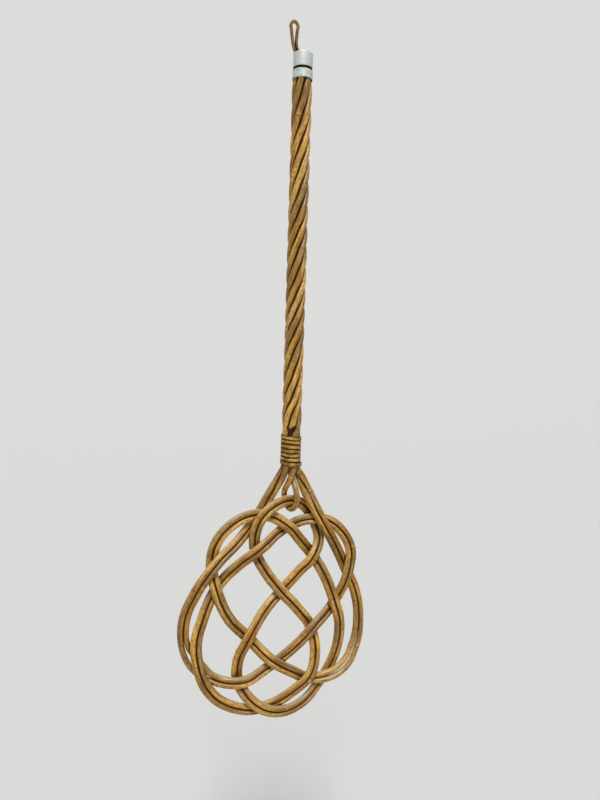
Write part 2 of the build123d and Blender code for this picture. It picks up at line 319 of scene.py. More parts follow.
# marks that noise makes: a small along draws them out along the piece
Marks = namedtuple("Marks", "along fineness detail start full strength")
tone_marks = Marks(0.14, 120.0, 3.0, 0.36, 0.62, 1.0)
worn_marks = Marks(0.3, 30.0, 2.0, 0.56, 0.42, 1.0)
fibre_marks = Marks(0.04, 1500.0, 5.0, 0.58, 0.36, 0.65)
blotch_marks = Marks(0.6, 330.0, 3.0, 0.5, 0.69, 0.45)
rib_marks = Marks(5.0, 190.0, 3.0, 0.54, 0.7, 0.55)
nick_marks = Marks(0.35, 800.0, 2.0, 0.66, 0.72, 0.85)
strip_tone_marks = Marks(0.6, 240.0, 3.0, 0.38, 0.6, 1.0)
strip_fibre_marks = Marks(0.06, 1700.0, 4.0, 0.58, 0.36, 0.6)
core_marks = Marks(0.03, 1200.0, 5.0, 0.35, 0.65, 1.0)
metal_marks = Marks(1.0, 330.0, 5.0, 0.5, 0.33, 1.0)
noise_low = 0.3
noise_high = 0.7

# colours and gloss of the canes: pale, middle and deep
golden = ((0.8, 0.455, 0.09, 1), (0.43, 0.2, 0.018, 1), (0.05, 0.017, 0.002, 1))
yellow = ((0.78, 0.5, 0.15, 1), (0.55, 0.32, 0.06, 1), (0.14, 0.06, 0.01, 1))
brown = ((0.37, 0.225, 0.075, 1), (0.22, 0.122, 0.033, 1), (0.05, 0.02, 0.005, 1))
# dust and a painted sheen on the faces that look up
dust_and_sheen_colour = (0.5, 0.37, 0.21, 1)
worn_colour = (0.19, 0.115, 0.038, 1)
ring_colour = (0.62, 0.3, 0.05, 1)
# painted shade in the grooves where canes touch, with some grime
groove_shade_colour = (0.03, 0.009, 0.001, 1)
cane_wear = 0.55
fresh_wear = 0.1
loop_wear = 0.6
# how much dust and painted sheen the faces that look up take, per wear
dust_and_sheen_per_wear = 1.1
dust_and_sheen_start = 0.1
dust_and_sheen_full = 0.95
# a warm painted shade on the flanks that face the next cane
warm_shade = (0.26, 0.085, 0.003, 1)
warm_shade_start = 0.3
warm_shade_full = 0.75
warm_shade_strength = 0.7
# where the painted groove shade starts and is full; the varnish's gloss fades over the same span
groove_start = 0.467
groove_full = 0.829
groove_shade_strength = 0.96
ring_patch_end = 6.0
ring_patch_strength = 0.6
ring_line_width = 0.3
ring_line_end = 0.9
ring_line_strength = 0.75
cane_gloss = 0.2
cane_roughness = 0.33
loop_roughness = 0.48
roughness_spread = 0.16
cane_coat = 0.3
loop_coat = 0.1
coat_roughness = 0.25
groove_roughness = 1.0
rib_share = 0.8
cane_relief = 0.7
cane_relief_depth = 0.0004

# colours and gloss of the cut ends, the binding, the core and the metal
pore_fineness = 1500.0
pore_edge = 0.15
pore_width = 0.4
pore_colour = (0.1, 0.05, 0.02, 1)
pith_colour = (0.4, 0.25, 0.1, 1)
pith_roughness = 0.8
strip_pale = (0.6, 0.36, 0.08, 1)
strip_middle = (0.28, 0.13, 0.018, 1)
strip_deep = (0.13, 0.05, 0.008, 1)
# painted shade, with patchy stains, in the grooves between the binding's turns
strip_groove_shade = (0.035, 0.013, 0.002, 1)
strip_edge_unevenness = 0.5
strip_edge_start = 0.25
strip_edge_full = 0.55
strip_edge_strength = 0.93
strip_dull_start = 0.0
strip_dull_full = 0.68
strip_roughness = 0.34
strip_coat = 0.3
strip_relief = 0.5
strip_relief_depth = 0.0003
core_dark = (0.03, 0.014, 0.005, 1)
core_pale = (0.1, 0.05, 0.018, 1)
core_roughness = 0.7
core_relief = 0.6
core_relief_depth = 0.0004
metal_pale = (0.555, 0.6, 0.58, 1)
metal_stain = (0.23, 0.24, 0.22, 1)
cap_stain_strength = 0.35
collar_stain_strength = 0.9
metal_share = 0.25
metal_roughness = 0.44
metal_stain_roughness = 0.62
metal_relief = 0.3
metal_relief_depth = 0.0005
scratch_along = 0.12
scratch_fineness = 2600.0
scratch_detail = 2.0
scratch_share = 0.25

# camera, in millimetres, degrees and the picture's pixels
camera_place = (-248.1, -696.95, -386.2)
camera_yaw = 21.2  # towards +X from +Y
camera_pitch = 4.5  # down
camera_roll = -1.858
picture_height = 800.0
focal_length_in_pixels = 601.0
sensor_height = 24.0
nearest_seen = 0.01  # in metres

# floor, backdrop and lights: metres, degrees, and directions towards each light
backdrop_colour = (0.72, 0.72, 0.71, 1)
floor_colour = (0.734, 0.734, 0.725, 1)
floor_roughness = 0.9
floor_gloss = 0.1
floor_level = -1.6
floor_half_size = 30.0
key_from = (-0.2, -0.58, 0.79)
key_strength = 2.6
key_softness = 14.0
front_from = (0.1, -0.95, -0.05)
front_strength = 0.6
fill_from = (0.1, 0.9, 0.3)
fill_strength = 1.1
wide_softness = 80.0
ambient_strength = 0.2


def circle_rule_tangents(points, first, last):
    """Tangents of a smooth run through the points, with the end tangents given."""
    tangents = [first]
    for back_point, here, ahead_point in zip(points, points[1:], points[2:]):
        back = here - back_point
        ahead = ahead_point - here
        tangents.append((back * ahead.length**2 + ahead * back.length**2).normalized())
    tangents.append(last)
    return tangents


def arc_samples(start, tangent, end):
    """Points along the arc from start to end, without its start."""
    chord = end - start
    side = chord - tangent * chord.dot(tangent)
    if side.length < STRAIGHT * chord.length:
        count = max(1, math.ceil(chord.length / sample_step))
        return [start + chord * (index / count) for index in range(1, count + 1)]
    half_turn = tangent.angle(chord)
    radius = chord.length / (2 * math.sin(half_turn))
    count = max(1, math.ceil(2 * half_turn * radius / sample_step))
    samples = []
    for index in range(1, count + 1):
        turn = 2 * half_turn * index / count
        lift = side.normalized() * (radius * (1 - math.cos(turn)))
        samples.append(start + tangent * (radius * math.sin(turn)) + lift)
    return samples


def biarc_samples(start, start_tangent, end, end_tangent):
    """Points along two arcs that meet smoothly, without the start."""
    chord = end - start
    both = start_tangent + end_tangent
    spread = 2 * (1 - start_tangent.dot(end_tangent))
    along = chord.dot(both)
    if spread < STRAIGHT:
        reach = chord.dot(chord) / (2 * along)
    else:
        reach = (math.sqrt(along**2 + spread * chord.dot(chord)) - along) / spread
    joint = (start + end + (start_tangent - end_tangent) * reach) / 2
    first_chord = (joint - start).normalized()
    joint_tangent = first_chord * (2 * start_tangent.dot(first_chord)) - start_tangent
    return arc_samples(start, start_tangent, joint) + arc_samples(joint, joint_tangent, end)


def smooth_samples(points, tangents):
    """Points along a smooth run of biarcs."""
    samples = [points[0]]
    for index in range(len(points) - 1):
        samples += biarc_samples(
            points[index], tangents[index], points[index + 1], tangents[index + 1]
        )
    return samples


def turned_slots(height):
    """How many slots the twist has moved the canes on at a height above the neck."""
    share = height / handle_length
    for index in range(1, len(sixth_turn_shares)):
        low = sixth_turn_shares[index - 1]
        high = sixth_turn_shares[index]
        if share <= high or index == len(sixth_turn_shares) - 1:
            return index - 1 + (share - low) / (high - low)


def ring_point(slot, height, radius):
    """Centre of the cane in a slot at a height above the neck."""
    angle = math.radians(neck_slot_angle + slot_step * (slot + turned_slots(height)))
    return Vector((radius * math.cos(angle), radius * math.sin(angle), neck_level + height))


def handle_stations():
    """Heights and ring radii that every cane of the handle passes, from the neck up."""
    binding_low = binding_start_height + binding_pitch
    stations = [(0.0, neck_ring_radius), (binding_low, binding_ring_radius)]
    stations.append((sixth_turn_shares[1] * handle_length, binding_ring_radius))
    stations.append((binding_top_height, binding_ring_radius))
    for share in sixth_turn_shares[2:-1]:
        stations.append((share * handle_length, handle_ring_radius))
    stations.append((collar_bottom_level - neck_level, collar_ring_radius))
    stations.append((cap_bottom_level - neck_level, cap_ring_radius))
    return stations


def handle_run(slot, start_height, end_height):
    """Points of the cane in a slot between two heights above the neck."""
    stations = handle_stations()
    run = [station for station in stations if start_height < station[0] < end_height]
    if start_height == 0:
        run = stations[:1] + run
    else:
        run = [(start_height, binding_ring_radius)] + run
    end_radius = cap_ring_radius if end_height > stations[-1][0] else binding_ring_radius
    run.append((end_height, end_radius))
    return [ring_point(slot, height, radius) for height, radius in run]


def head_point(right_share, down_share, lifts):
    """A point of the head from its shares and its lifts behind the middle plane."""
    return Vector(
        (right_share * head_width, lifts * weave_lift, neck_level - down_share * head_height)
    )


def end_tangent(points):
    """Tangent at the last point that carries the last bend on."""
    chord = (points[-1] - points[-2]).normalized()
    back = (points[-2] - points[-3]).normalized()
    return (chord * (2 * chord.dot(back)) - back).normalized()


def cane_samples(points):
    """Centre points of a cane through its route, the ends carrying on their last bends."""
    first = end_tangent(points[::-1]) * -1
    return smooth_samples(points, circle_rule_tangents(points, first, end_tangent(points)))


def knot_points(side):
    """The knot's route moved to one side of the pair, as seen from the front."""
    middle = [head_point(right, down, lifts) for right, down, lifts, _ in knot_route_shares]
    first = (middle[1] - middle[0]).normalized()
    last = (middle[-1] - middle[-2]).normalized()
    tangents = circle_rule_tangents(middle, first, last)
    points = []
    for here, tangent, (_, _, _, spread) in zip(middle, tangents, knot_route_shares):
        sideways = Vector((tangent.z, 0, -tangent.x)).normalized()
        points.append(here + sideways * (side * spread * cane_radius))
    return points


def knot_cane_route(side, left_slot, left_end, left_throat, right_slot, right_throat):
    """One cane of the pair: down from the handle, through the knot and up again."""
    left = handle_run(left_slot, 0, left_end)[::-1]
    right = handle_run(right_slot, 0, handle_length - cane_end_depth)
    head = [head_point(*left_throat)] + knot_points(side) + [head_point(*right_throat)]
    return left + head + right


def staple_route():
    """The hairpin from the front slot round the arch and back up to the rear slot."""
    cane_top = handle_length - cane_end_depth
    front = handle_run(staple_front_slot, 0, cane_top)[::-1]
    rear = handle_run(staple_rear_slot, 0, cane_top)
    return front + [head_point(*row) for row in staple_route_shares] + rear


def loop_samples():
    """The hanging loop's centre line: up from the ferrule, round the bend and down again."""
    strand_radius = loop_strand_diameter / 2
    slots_on = outer_left_slot + len(sixth_turn_shares) - 1
    slot_angle = math.radians(neck_slot_angle + slot_step * slots_on)
    outer_reach = cap_ring_radius + cane_radius - strand_radius
    inner_reach = outer_reach - loop_strand_diameter - seat_gap
    bend_level = strand_radius - loop_bend_radius
    points = []
    for side, reach in ((1, outer_reach), (-1, inner_reach)):
        foot = Vector((reach * math.cos(slot_angle), reach * math.sin(slot_angle), 0))
        waist = -loop_waist_offset - side * loop_waist_spacing / 2
        shoulder = -loop_centre_offset - side * loop_shoulder_spacing / 2
        points.append(
            [
                foot + Vector((0, 0, rim_level - loop_leg_start_depth)),
                foot + Vector((0, 0, rim_level + loop_leg_straight_rise)),
                Vector((waist, loop_waist_setback, rim_level + loop_waist_height)),
                Vector((shoulder, loop_setback, rim_level + loop_shoulder_height)),
                Vector((-loop_centre_offset - side * loop_bend_radius, loop_setback, bend_level)),
            ]
        )
    top = Vector((-loop_centre_offset, loop_setback, bend_level + loop_bend_radius))
    route = points[0] + [top] + points[1][::-1]
    up = Vector((0, 0, 1))
    return smooth_samples(route, circle_rule_tangents(route, up, up * -1))


def running_lengths(samples):
    """Distance along the run at each sample."""
    lengths = [0.0]
    for here, following in zip(samples, samples[1:]):
        lengths.append(lengths[-1] + (following - here).length)
    return lengths


def tangent_at(samples, index):
    """Direction of the run at a sample."""
    low = samples[max(index - 1, 0)]
    high = samples[min(index + 1, len(samples) - 1)]
    return (high - low).normalized()


def carried_frames(samples):
    """Tangent and two cross directions at each sample, carried along without twist."""
    frames = []
    across = None
    for index in range(len(samples)):
        tangent = tangent_at(samples, index)
        if across is None:
            across = tangent.orthogonal()
        across = (across - tangent * across.dot(tangent)).normalized()
        frames.append((tangent, across, tangent.cross(across)))
    return frames


def new_piece(name, vertices, faces, attributes):
    """A smooth mesh from points in millimetres round the handle's axis, with its attributes."""
    shift = Vector((axis_right, axis_behind, 0))
    mesh = bpy.data.meshes.new(name)
    mesh.from_pydata([(point + shift) * MM for point in vertices], [], faces)
    mesh.polygons.foreach_set("use_smooth", [True] * len(mesh.polygons))
    for key, values in attributes.items():
        if isinstance(values[0], tuple):
            data = mesh.attributes.new(key, "FLOAT_VECTOR", "POINT").data
            data.foreach_set("vector", [number * MM for value in values for number in value])
        else:
            mesh.attributes.new(key, "FLOAT", "POINT").data.foreach_set("value", values)
    mesh.update()
    piece = bpy.data.objects.new(name, mesh)
    bpy.context.collection.objects.link(piece)
    return piece


def finish_piece(piece, node, slot, *materials):
    """The piece with its materials, on the body, in place of a CAD node."""
    for material in materials:
        piece.data.materials.append(material)
    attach(piece, "root")
    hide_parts(node)


def band_faces(rows, sides):
    """Quads between closed rows of vertices."""
    faces = []
    for row in range(rows - 1):
        low = row * sides
        high = low + sides
        for side in range(sides):
            following = (side + 1) % sides
            faces.append((low + side, low + following, high + following, high + side))
    return faces


def fan_faces(first, centre, sides, reverse):
    """Triangles from a ring of vertices to its centre."""
    faces = []
    for side in range(sides):
        pair = (first + side, first + (side + 1) % sides)
        faces.append((centre, *(pair[::-1] if reverse else pair)))
    return faces


def nearest_ring(place, rings):
    """Signed distance to the nearest growth ring, within its reach."""
    nearest = min((place - ring for ring in rings), key=abs)
    return max(-growth_ring_reach, min(growth_ring_reach, nearest))


def crowd_of(runs):
    """A search tree over every cane's centre points, and whose they are."""
    owners = []
    for name, (samples, diameter) in runs.items():
        for sample, place in zip(samples, running_lengths(samples)):
            owners.append((sample, name, place, diameter / 2))
    tree = kdtree.KDTree(len(owners))
    for index, owner in enumerate(owners):
        tree.insert(owner[0], index)
    tree.balance()
    return tree, owners


def shade_and_grime_at(point, name, place, crowd):
    """How deep the painted shade, with some grime, lies at a point: from 0 in the open to 1 where
    the next cane touches or between the metal rings.
    """
    tree, owners = crowd
    reach = handle_shade_and_grime_reach if point.z > neck_level else shade_and_grime_reach
    least = reach
    for _, index, distance in tree.find_range(point, cane_radius + reach):
        _, owner, other_place, other_radius = owners[index]
        if owner != name or abs(other_place - place) > own_reach:
            least = min(least, distance - other_radius)
    # canes in the gap between the metal rings are painted fully dark as shade
    in_gap = -gap_band_margin < point.z - collar_top_level < ferrule_gap + gap_band_margin
    return 1.0 if in_gap else min(1.0, 1 - least / reach)


def surface_reach(start, turned, place, from_ring, radius):
    """How far out the cane's surface is: raised at a ring and a little uneven all along."""
    ridge = growth_ring_rise * math.exp(-((from_ring / growth_ring_width) ** 2))
    wander = noise.noise(
        Vector((math.cos(turned), math.sin(turned) + start, place / wander_length))
    )
    return radius + ridge + radius_wander * wander


def make_cane(name, samples, diameter, sides, rings, crowd, draw, slant):
    """A round cane with growth rings and cut ends, the first one slanted."""
    lengths = running_lengths(samples)
    frames = carried_frames(samples)
    start = draw.uniform(0, grain_run)
    twist = draw.uniform(-grain_twist, grain_twist)
    last = len(samples) - 1
    rows = [(0, -end_bevel)] + [(index, 0) for index in range(last + 1)] + [(last, end_bevel)]
    vertices, straight, growth, shade_and_grime = [], [], [], []
    for index, past in rows:
        tangent, across, third = frames[index]
        leftward = Vector((samples[index].x, samples[index].y, 0)).normalized().cross(tangent)
        place = lengths[index]
        from_ring = nearest_ring(place, rings)
        fade = max(0.0, 1 - place / splice_cut_fade)
        for side in range(sides):
            angle = 2 * math.pi * side / sides
            turned = angle + twist * place
            reach = surface_reach(start, turned, place, from_ring, diameter / 2 - abs(past))
            out = across * math.cos(angle) + third * math.sin(angle)
            slide = slant * fade * (1 - out.dot(leftward))
            point = samples[index] + out * reach + tangent * (past + slide)
            vertices.append(point)
            straight.append((math.cos(turned) * reach, math.sin(turned) * reach, start + place))
            growth.append(from_ring)
            # painted shade between the canes, with some grime, kept on each vertex
            shade_and_grime.append(shade_and_grime_at(point, name, place, crowd))
    faces = band_faces(len(rows), sides)
    for first, index, past in ((0, 0, -end_bevel), (len(vertices) - sides, last, end_bevel)):
        vertices.append(samples[index] + frames[index][0] * past)
        straight.append((0.0, 0.0, start + lengths[index]))
        growth.append(growth_ring_reach)
        shade_and_grime.append(0.0)
        faces += fan_faces(first, len(vertices) - 1, sides, past < 0)
    piece = new_piece(
        name, vertices, faces, {"straight": straight, "growth": growth, "shade_and_grime": shade_and_grime}
    )
    for face in list(piece.data.polygons)[-2 * sides :]:
        face.material_index = 1
        face.use_smooth = False
    return piece


def binding_point(turn):
    """A point on the binding's inner face after a number of turns from behind the neck."""
    height = binding_start_height + turn * binding_pitch
    low_share = max(0.0, 1 - turn)
    radius = binding_ring_radius + cane_radius + seat_gap + low_share * binding_neck_swell
    angle = math.radians(binding_start_angle - 360 * turn)
    return Vector((radius * math.cos(angle), radius * math.sin(angle), neck_level + height))


def binding_samples():
    """Points along the winding, with a short straight tail at each end."""
    steps = binding_turns * strip_steps
    points = [binding_point(turn / strip_steps) for turn in range(steps + 1)]
    tail_step = binding_tail_length / strip_tail_steps
    lead = (points[1] - points[0]).normalized() * tail_step
    trail = (points[-1] - points[-2]).normalized() * tail_step
    first_tail = [points[0] - lead * index for index in range(strip_tail_steps, 0, -1)]
    last_tail = [points[-1] + trail * index for index in range(1, strip_tail_steps + 1)]
    return first_tail + points + last_tail


def wandering(start, row, place, length):
    """A small unevenness that changes over a length."""
    return strip_wander * noise.noise(Vector((start, row, place / length)))


def strip_frame(samples, index):
    """The strip's directions at a sample: outward from the neck, and up along it."""
    tangent = tangent_at(samples, index)
    outward = Vector((-tangent.y, tangent.x, 0)).normalized()
    if outward.dot(Vector((samples[index].x, samples[index].y, 0))) < 0:
        outward = outward * -1
    upward = outward.cross(tangent)
    return outward, upward if upward.z > 0 else upward * -1


def make_binding(draw):
    """Split cane wound round the neck: flat inside, rounded outside, a little uneven."""
    samples = binding_samples()
    start = draw.uniform(0, grain_run)
    vertices, straight, shade_and_grime = [], [], []
    for index, (sample, place) in enumerate(zip(samples, running_lengths(samples))):
        outward, upward = strip_frame(samples, index)
        widening = wandering(start, strip_width_row, place, strip_width_wander_length)
        swelling = wandering(start, strip_crown_row, place, strip_crown_wander_length)
        sway = wandering(start, strip_sway_row, place, strip_sway_length)
        width = binding_strip_width + widening
        crown = binding_strip_thickness + swelling
        crown += lowest_turn_rise * max(0.0, 1 - index / strip_steps)
        for side in range(strip_sides):
            angle = math.pi * side / (strip_sides - 1)
            across = -math.cos(angle) * width / 2
            lift = max(0.0, math.sin(angle)) ** strip_crown_power * crown
            vertices.append(sample + upward * (across + sway) + outward * lift)
            straight.append((across, lift, start + place))
            # painted shade grows towards the strip's edges, where the turns meet
            shade_and_grime.append(abs(math.cos(angle)))
    rows = len(samples)
    faces = band_faces(rows, strip_sides)
    last = (rows - 1) * strip_sides
    faces.append(tuple(range(strip_sides)))
    faces.append(tuple(range(last + strip_sides - 1, last - 1, -1)))
    return new_piece("binding_strip", vertices, faces, {"straight": straight, "shade_and_grime": shade_and_grime})


def make_ferrule_ring(name, bottom, height, ring_radius, dent, draw):
    """A thin metal ring with rounded edges, its outer face slightly dented."""
    inner = ring_radius + cane_radius + seat_gap
    outer = inner + ferrule_wall
    round_off = ferrule_edge_radius
    profile = [(inner, bottom + round_off), (inner + round_off, bottom)]
    profile.append((outer - round_off, bottom))
    for row in range(ferrule_rows + 1):
        profile.append((outer, bottom + round_off + (height - 2 * round_off) * row / ferrule_rows))
    profile += [(outer - round_off, bottom + height), (inner + round_off, bottom + height)]
    profile.append((inner, bottom + height - round_off))
    start = draw.uniform(0, grain_run)
    vertices = []
    for radius, level in profile:
        for side in range(ferrule_sides):
            angle = 2 * math.pi * side / ferrule_sides
            direction = Vector((math.cos(angle), math.sin(angle), 0))
            place = (direction * radius + Vector((0, 0, level))) / ferrule_dent_length
            reach = radius + dent * noise.noise(place + Vector((start, 0, 0)))
            vertices.append(direction * reach + Vector((0, 0, level)))
    faces = band_faces(len(profile), ferrule_sides)
    top = (len(profile) - 1) * ferrule_sides
    for side in range(ferrule_sides):
        following = (side + 1) % ferrule_sides
        faces.append((top + side, top + following, following, side))
    return new_piece(name, vertices, faces, {})


def material_nodes(name):
    """A new node material, its tree and its shader."""
    material = bpy.data.materials.new(name)
    material.use_nodes = True
    return material, material.node_tree, material.node_tree.nodes["Principled BSDF"]


def add(tree, kind, inputs=(), **settings):
    """A node with its settings; each input is a value or another node's output."""
    node = tree.nodes.new(kind)
    for key, value in settings.items():
        setattr(node, key, value)
    for socket, value in inputs:
        if isinstance(value, bpy.types.NodeSocket):
            tree.links.new(value, node.inputs[socket])
        else:
            node.inputs[socket].default_value = value
    return node


def mix_colours(tree, share, first, second):
    """A colour between two, each a colour or an output."""
    node = add(
        tree,
        "ShaderNodeMix",
        [("Factor", share), (FIRST_COLOUR, first), (SECOND_COLOUR, second)],
        data_type="RGBA",
    )
    return node.outputs[MIXED_COLOUR]


def stretch(tree, value, low, high, top=1.0):
    """The value stretched smoothly so that low becomes 0 and high becomes the top."""
    node = add(
        tree,
        "ShaderNodeMapRange",
        [("Value", value), ("From Min", low), ("From Max", high), ("To Max", top)],
        interpolation_type="SMOOTHSTEP",
    )
    return node.outputs[0]


def grain(tree, place, along, fineness, detail):
    """Noise in a place, drawn out along its third axis where along is small."""
    scaled = add(
        tree, "ShaderNodeVectorMath", [(0, place), (1, (1, 1, along))], operation="MULTIPLY"
    )
    node = add(
        tree,
        "ShaderNodeTexNoise",
        [("Vector", scaled.outputs[0]), ("Scale", fineness), ("Detail", detail)],
    )
    return node.outputs[0]


def marked(tree, place, colour, marks, mark_colour):
    """The colour with one kind of marks on it, and the noise that makes them."""
    noise_value = grain(tree, place, marks.along, marks.fineness, marks.detail)
    share = stretch(tree, noise_value, marks.start, marks.full, marks.strength)
    return mix_colours(tree, share, colour, mark_colour), noise_value


def bump(tree, shader, height, strength, distance):
    """Fine relief from a height."""
    node = add(
        tree, "ShaderNodeBump", [("Height", height), ("Strength", strength), ("Distance", distance)]
    )
    tree.links.new(node.outputs[0], shader.inputs["Normal"])


def between(tree, value, start, full, low, high):
    """A straight run from low at the start to high at the full value."""
    ends = [("From Min", start), ("From Max", full), ("To Min", low), ("To Max", high)]
    return add(tree, "ShaderNodeMapRange", [("Value", value)] + ends).outputs[0]


def uneven_roughness(tree, shader, value, low, high):
    """Roughness between two values, following a noise."""
    roughness = between(tree, value, noise_low, noise_high, low, high)
    tree.links.new(roughness, shader.inputs["Roughness"])


def attribute(tree, name, output):
    """A mesh attribute's output."""
    return add(tree, "ShaderNodeAttribute", attribute_name=name).outputs[output]


def multiply_add(tree, value, factor, offset):
    """The value times a factor, plus an offset."""
    node = add(
        tree, "ShaderNodeMath", [(0, value), (1, factor), (2, offset)], operation="MULTIPLY_ADD"
    )
    return node.outputs[0]


def varnish(tree, shader, fibres, shade_and_grime, dull_from, dull_full, roughness, coat):
    """The gloss of varnish, uneven along the fibres and gone where the painted shade and grime
    between the canes are deep.
    """
    shader.inputs["Specular IOR Level"].default_value = cane_gloss
    shader.inputs["Coat Roughness"].default_value = coat_roughness
    rough = between(tree, fibres, noise_low, noise_high, roughness, roughness + roughness_spread)
    rough = between(tree, shade_and_grime, dull_from, dull_full, rough, groove_roughness)
    tree.links.new(rough, shader.inputs["Roughness"])
    thickness = between(tree, shade_and_grime, dull_from, dull_full, coat, 0.0)
    tree.links.new(thickness, shader.inputs["Coat Weight"])


def ringed(tree, growth, colour, deep):
    """The colour with an orange patch past each growth ring and a dark line at the ring."""
    fresh = stretch(tree, growth, ring_patch_end, ring_line_width, ring_patch_strength)
    past_ring = stretch(tree, growth, 0.0, ring_line_width)
    patch = multiply_add(tree, fresh, past_ring, 0.0)
    colour = mix_colours(tree, patch, colour, ring_colour)
    from_ring = add(tree, "ShaderNodeMath", [(0, growth)], operation="ABSOLUTE").outputs[0]
    line = stretch(tree, from_ring, ring_line_end, 0.0, ring_line_strength)
    return mix_colours(tree, line, colour, deep)


def dust_and_sheen(tree, colour, strength):
    """The colour paler and greyer on the faces that look up: dust, and a painted sheen of the light
    from above.
    """
    facing = add(tree, "ShaderNodeNewGeometry").outputs["Normal"]
    upward = add(tree, "ShaderNodeSeparateXYZ", [(0, facing)]).outputs[2]
    share = stretch(tree, upward, dust_and_sheen_start, dust_and_sheen_full, strength)
    return mix_colours(tree, share, colour, dust_and_sheen_colour)


def make_cane_material(name, colours, roughness, coat, wear):
    """Varnished cane: fibres, fine cross ribs, dark nicks, growth rings, dust with a painted sheen
    on the faces that look up, and painted shade with some grime between the canes.
    """
    pale, middle, deep = colours
    material, tree, shader = material_nodes(name)
    place = attribute(tree, "straight", "Vector")
    growth = attribute(tree, "growth", "Fac")
    shade_and_grime = attribute(tree, "shade_and_grime", "Fac")
    colour, _ = marked(tree, place, middle, tone_marks, pale)
    colour, _ = marked(tree, place, colour, worn_marks._replace(strength=wear), worn_colour)
    colour, fibres = marked(tree, place, colour, fibre_marks, deep)
    colour, _ = marked(tree, place, colour, blotch_marks, deep)
    colour, ribs = marked(tree, place, colour, rib_marks, deep)
    colour, _ = marked(tree, place, colour, nick_marks, deep)
    colour = ringed(tree, growth, colour, deep)
    # dust and a painted sheen on the faces that look up, more on worn canes
    colour = dust_and_sheen(tree, colour, wear * dust_and_sheen_per_wear)
    # warm painted shade on the flanks near the next cane
    warm_shade_share = stretch(tree, shade_and_grime, warm_shade_start, warm_shade_full, warm_shade_strength)
    colour = mix_colours(tree, warm_shade_share, colour, warm_shade)
    # painted shade, with some grime, darkens the grooves where canes touch
    groove_shade = stretch(tree, shade_and_grime, groove_start, groove_full, groove_shade_strength)
    colour = mix_colours(tree, groove_shade, colour, groove_shade_colour)
    tree.links.new(colour, shader.inputs["Base Color"])
    varnish(tree, shader, fibres, shade_and_grime, groove_start, groove_full, roughness, coat)
    bump(tree, shader, multiply_add(tree, ribs, rib_share, fibres), cane_relief, cane_relief_depth)
    return material


def make_end_material():
    """The cut end of a cane: pale pith with open pores."""
    material, tree, shader = material_nodes("cane_cut_end")
    place = attribute(tree, "straight", "Vector")
    pores = add(tree, "ShaderNodeTexVoronoi", [("Vector", place), ("Scale", pore_fineness)])
    share = stretch(tree, pores.outputs["Distance"], pore_edge, pore_width)
    tree.links.new(mix_colours(tree, share, pore_colour, pith_colour), shader.inputs["Base Color"])
    shader.inputs["Roughness"].default_value = pith_roughness
    return material


def make_binding_material():
    """Yellow split cane, with painted shade and patchy dark stains in the grooves between its
    turns.
    """
    material, tree, shader = material_nodes("binding_strip")
    place = attribute(tree, "straight", "Vector")
    shade_and_grime = attribute(tree, "shade_and_grime", "Fac")
    colour, patches = marked(tree, place, strip_middle, strip_tone_marks, strip_pale)
    colour, fibres = marked(tree, place, colour, strip_fibre_marks, strip_deep)
    # painted shade at the strip's edges, broken into patches like stains
    uneven = multiply_add(tree, patches, -strip_edge_unevenness, shade_and_grime)
    edge = stretch(tree, uneven, strip_edge_start, strip_edge_full, strip_edge_strength)
    tree.links.new(mix_colours(tree, edge, colour, strip_groove_shade), shader.inputs["Base Color"])
    varnish(
        tree,
        shader,
        fibres,
        shade_and_grime,
        strip_dull_start,
        strip_dull_full,
        strip_roughness,
        strip_coat,
    )
    bump(tree, shader, fibres, strip_relief, strip_relief_depth)
    return material


def make_core_material():
    """The bare dull stick inside the handle, its grain upright."""
    material, tree, shader = material_nodes("core_stick")
    place = add(tree, "ShaderNodeTexCoord").outputs["Object"]
    colour, fibres = marked(tree, place, core_dark, core_marks, core_pale)
    tree.links.new(colour, shader.inputs["Base Color"])
    shader.inputs["Roughness"].default_value = core_roughness
    bump(tree, shader, fibres, core_relief, core_relief_depth)
    return material


def make_metal_material(name, stain_strength):
    """Dull pale grey metal with darker stains."""
    material, tree, shader = material_nodes(name)
    place = add(tree, "ShaderNodeTexCoord").outputs["Object"]
    marks = metal_marks._replace(strength=stain_strength)
    colour, stains = marked(tree, place, metal_pale, marks, metal_stain)
    scratches = grain(tree, place, scratch_along, scratch_fineness, scratch_detail)
    tree.links.new(colour, shader.inputs["Base Color"])
    shader.inputs["Metallic"].default_value = metal_share
    uneven_roughness(tree, shader, stains, metal_stain_roughness, metal_roughness)
    height = multiply_add(tree, scratches, scratch_share, stains)
    bump(tree, shader, height, metal_relief, metal_relief_depth)
    return material


def cane_runs():
    """The centre points and the thickness of each cane and of the loop's strand."""
    cane_top = handle_length - cane_end_depth
    splice_top = handle_length - splice_top_depth
    outer = knot_cane_route(
        1,
        outer_left_slot,
        left_cane_end_height,
        outer_left_throat_share,
        outer_right_slot,
        outer_right_throat_share,
    )
    inner = knot_cane_route(
        -1,
        inner_left_slot,
        cane_top,
        inner_left_throat_share,
        inner_right_slot,
        inner_right_throat_share,
    )
    routes = {
        "cane_outer": outer,
        "cane_inner": inner,
        "cane_staple": staple_route(),
        "cane_splice": handle_run(outer_left_slot, splice_start_height, splice_top),
    }
    full_diameter = cane_diameter + cane_fullness
    runs = {name: (cane_samples(route), full_diameter) for name, route in routes.items()}
    runs["loop_strand"] = (loop_samples(), loop_strand_diameter + loop_fullness)
    return runs


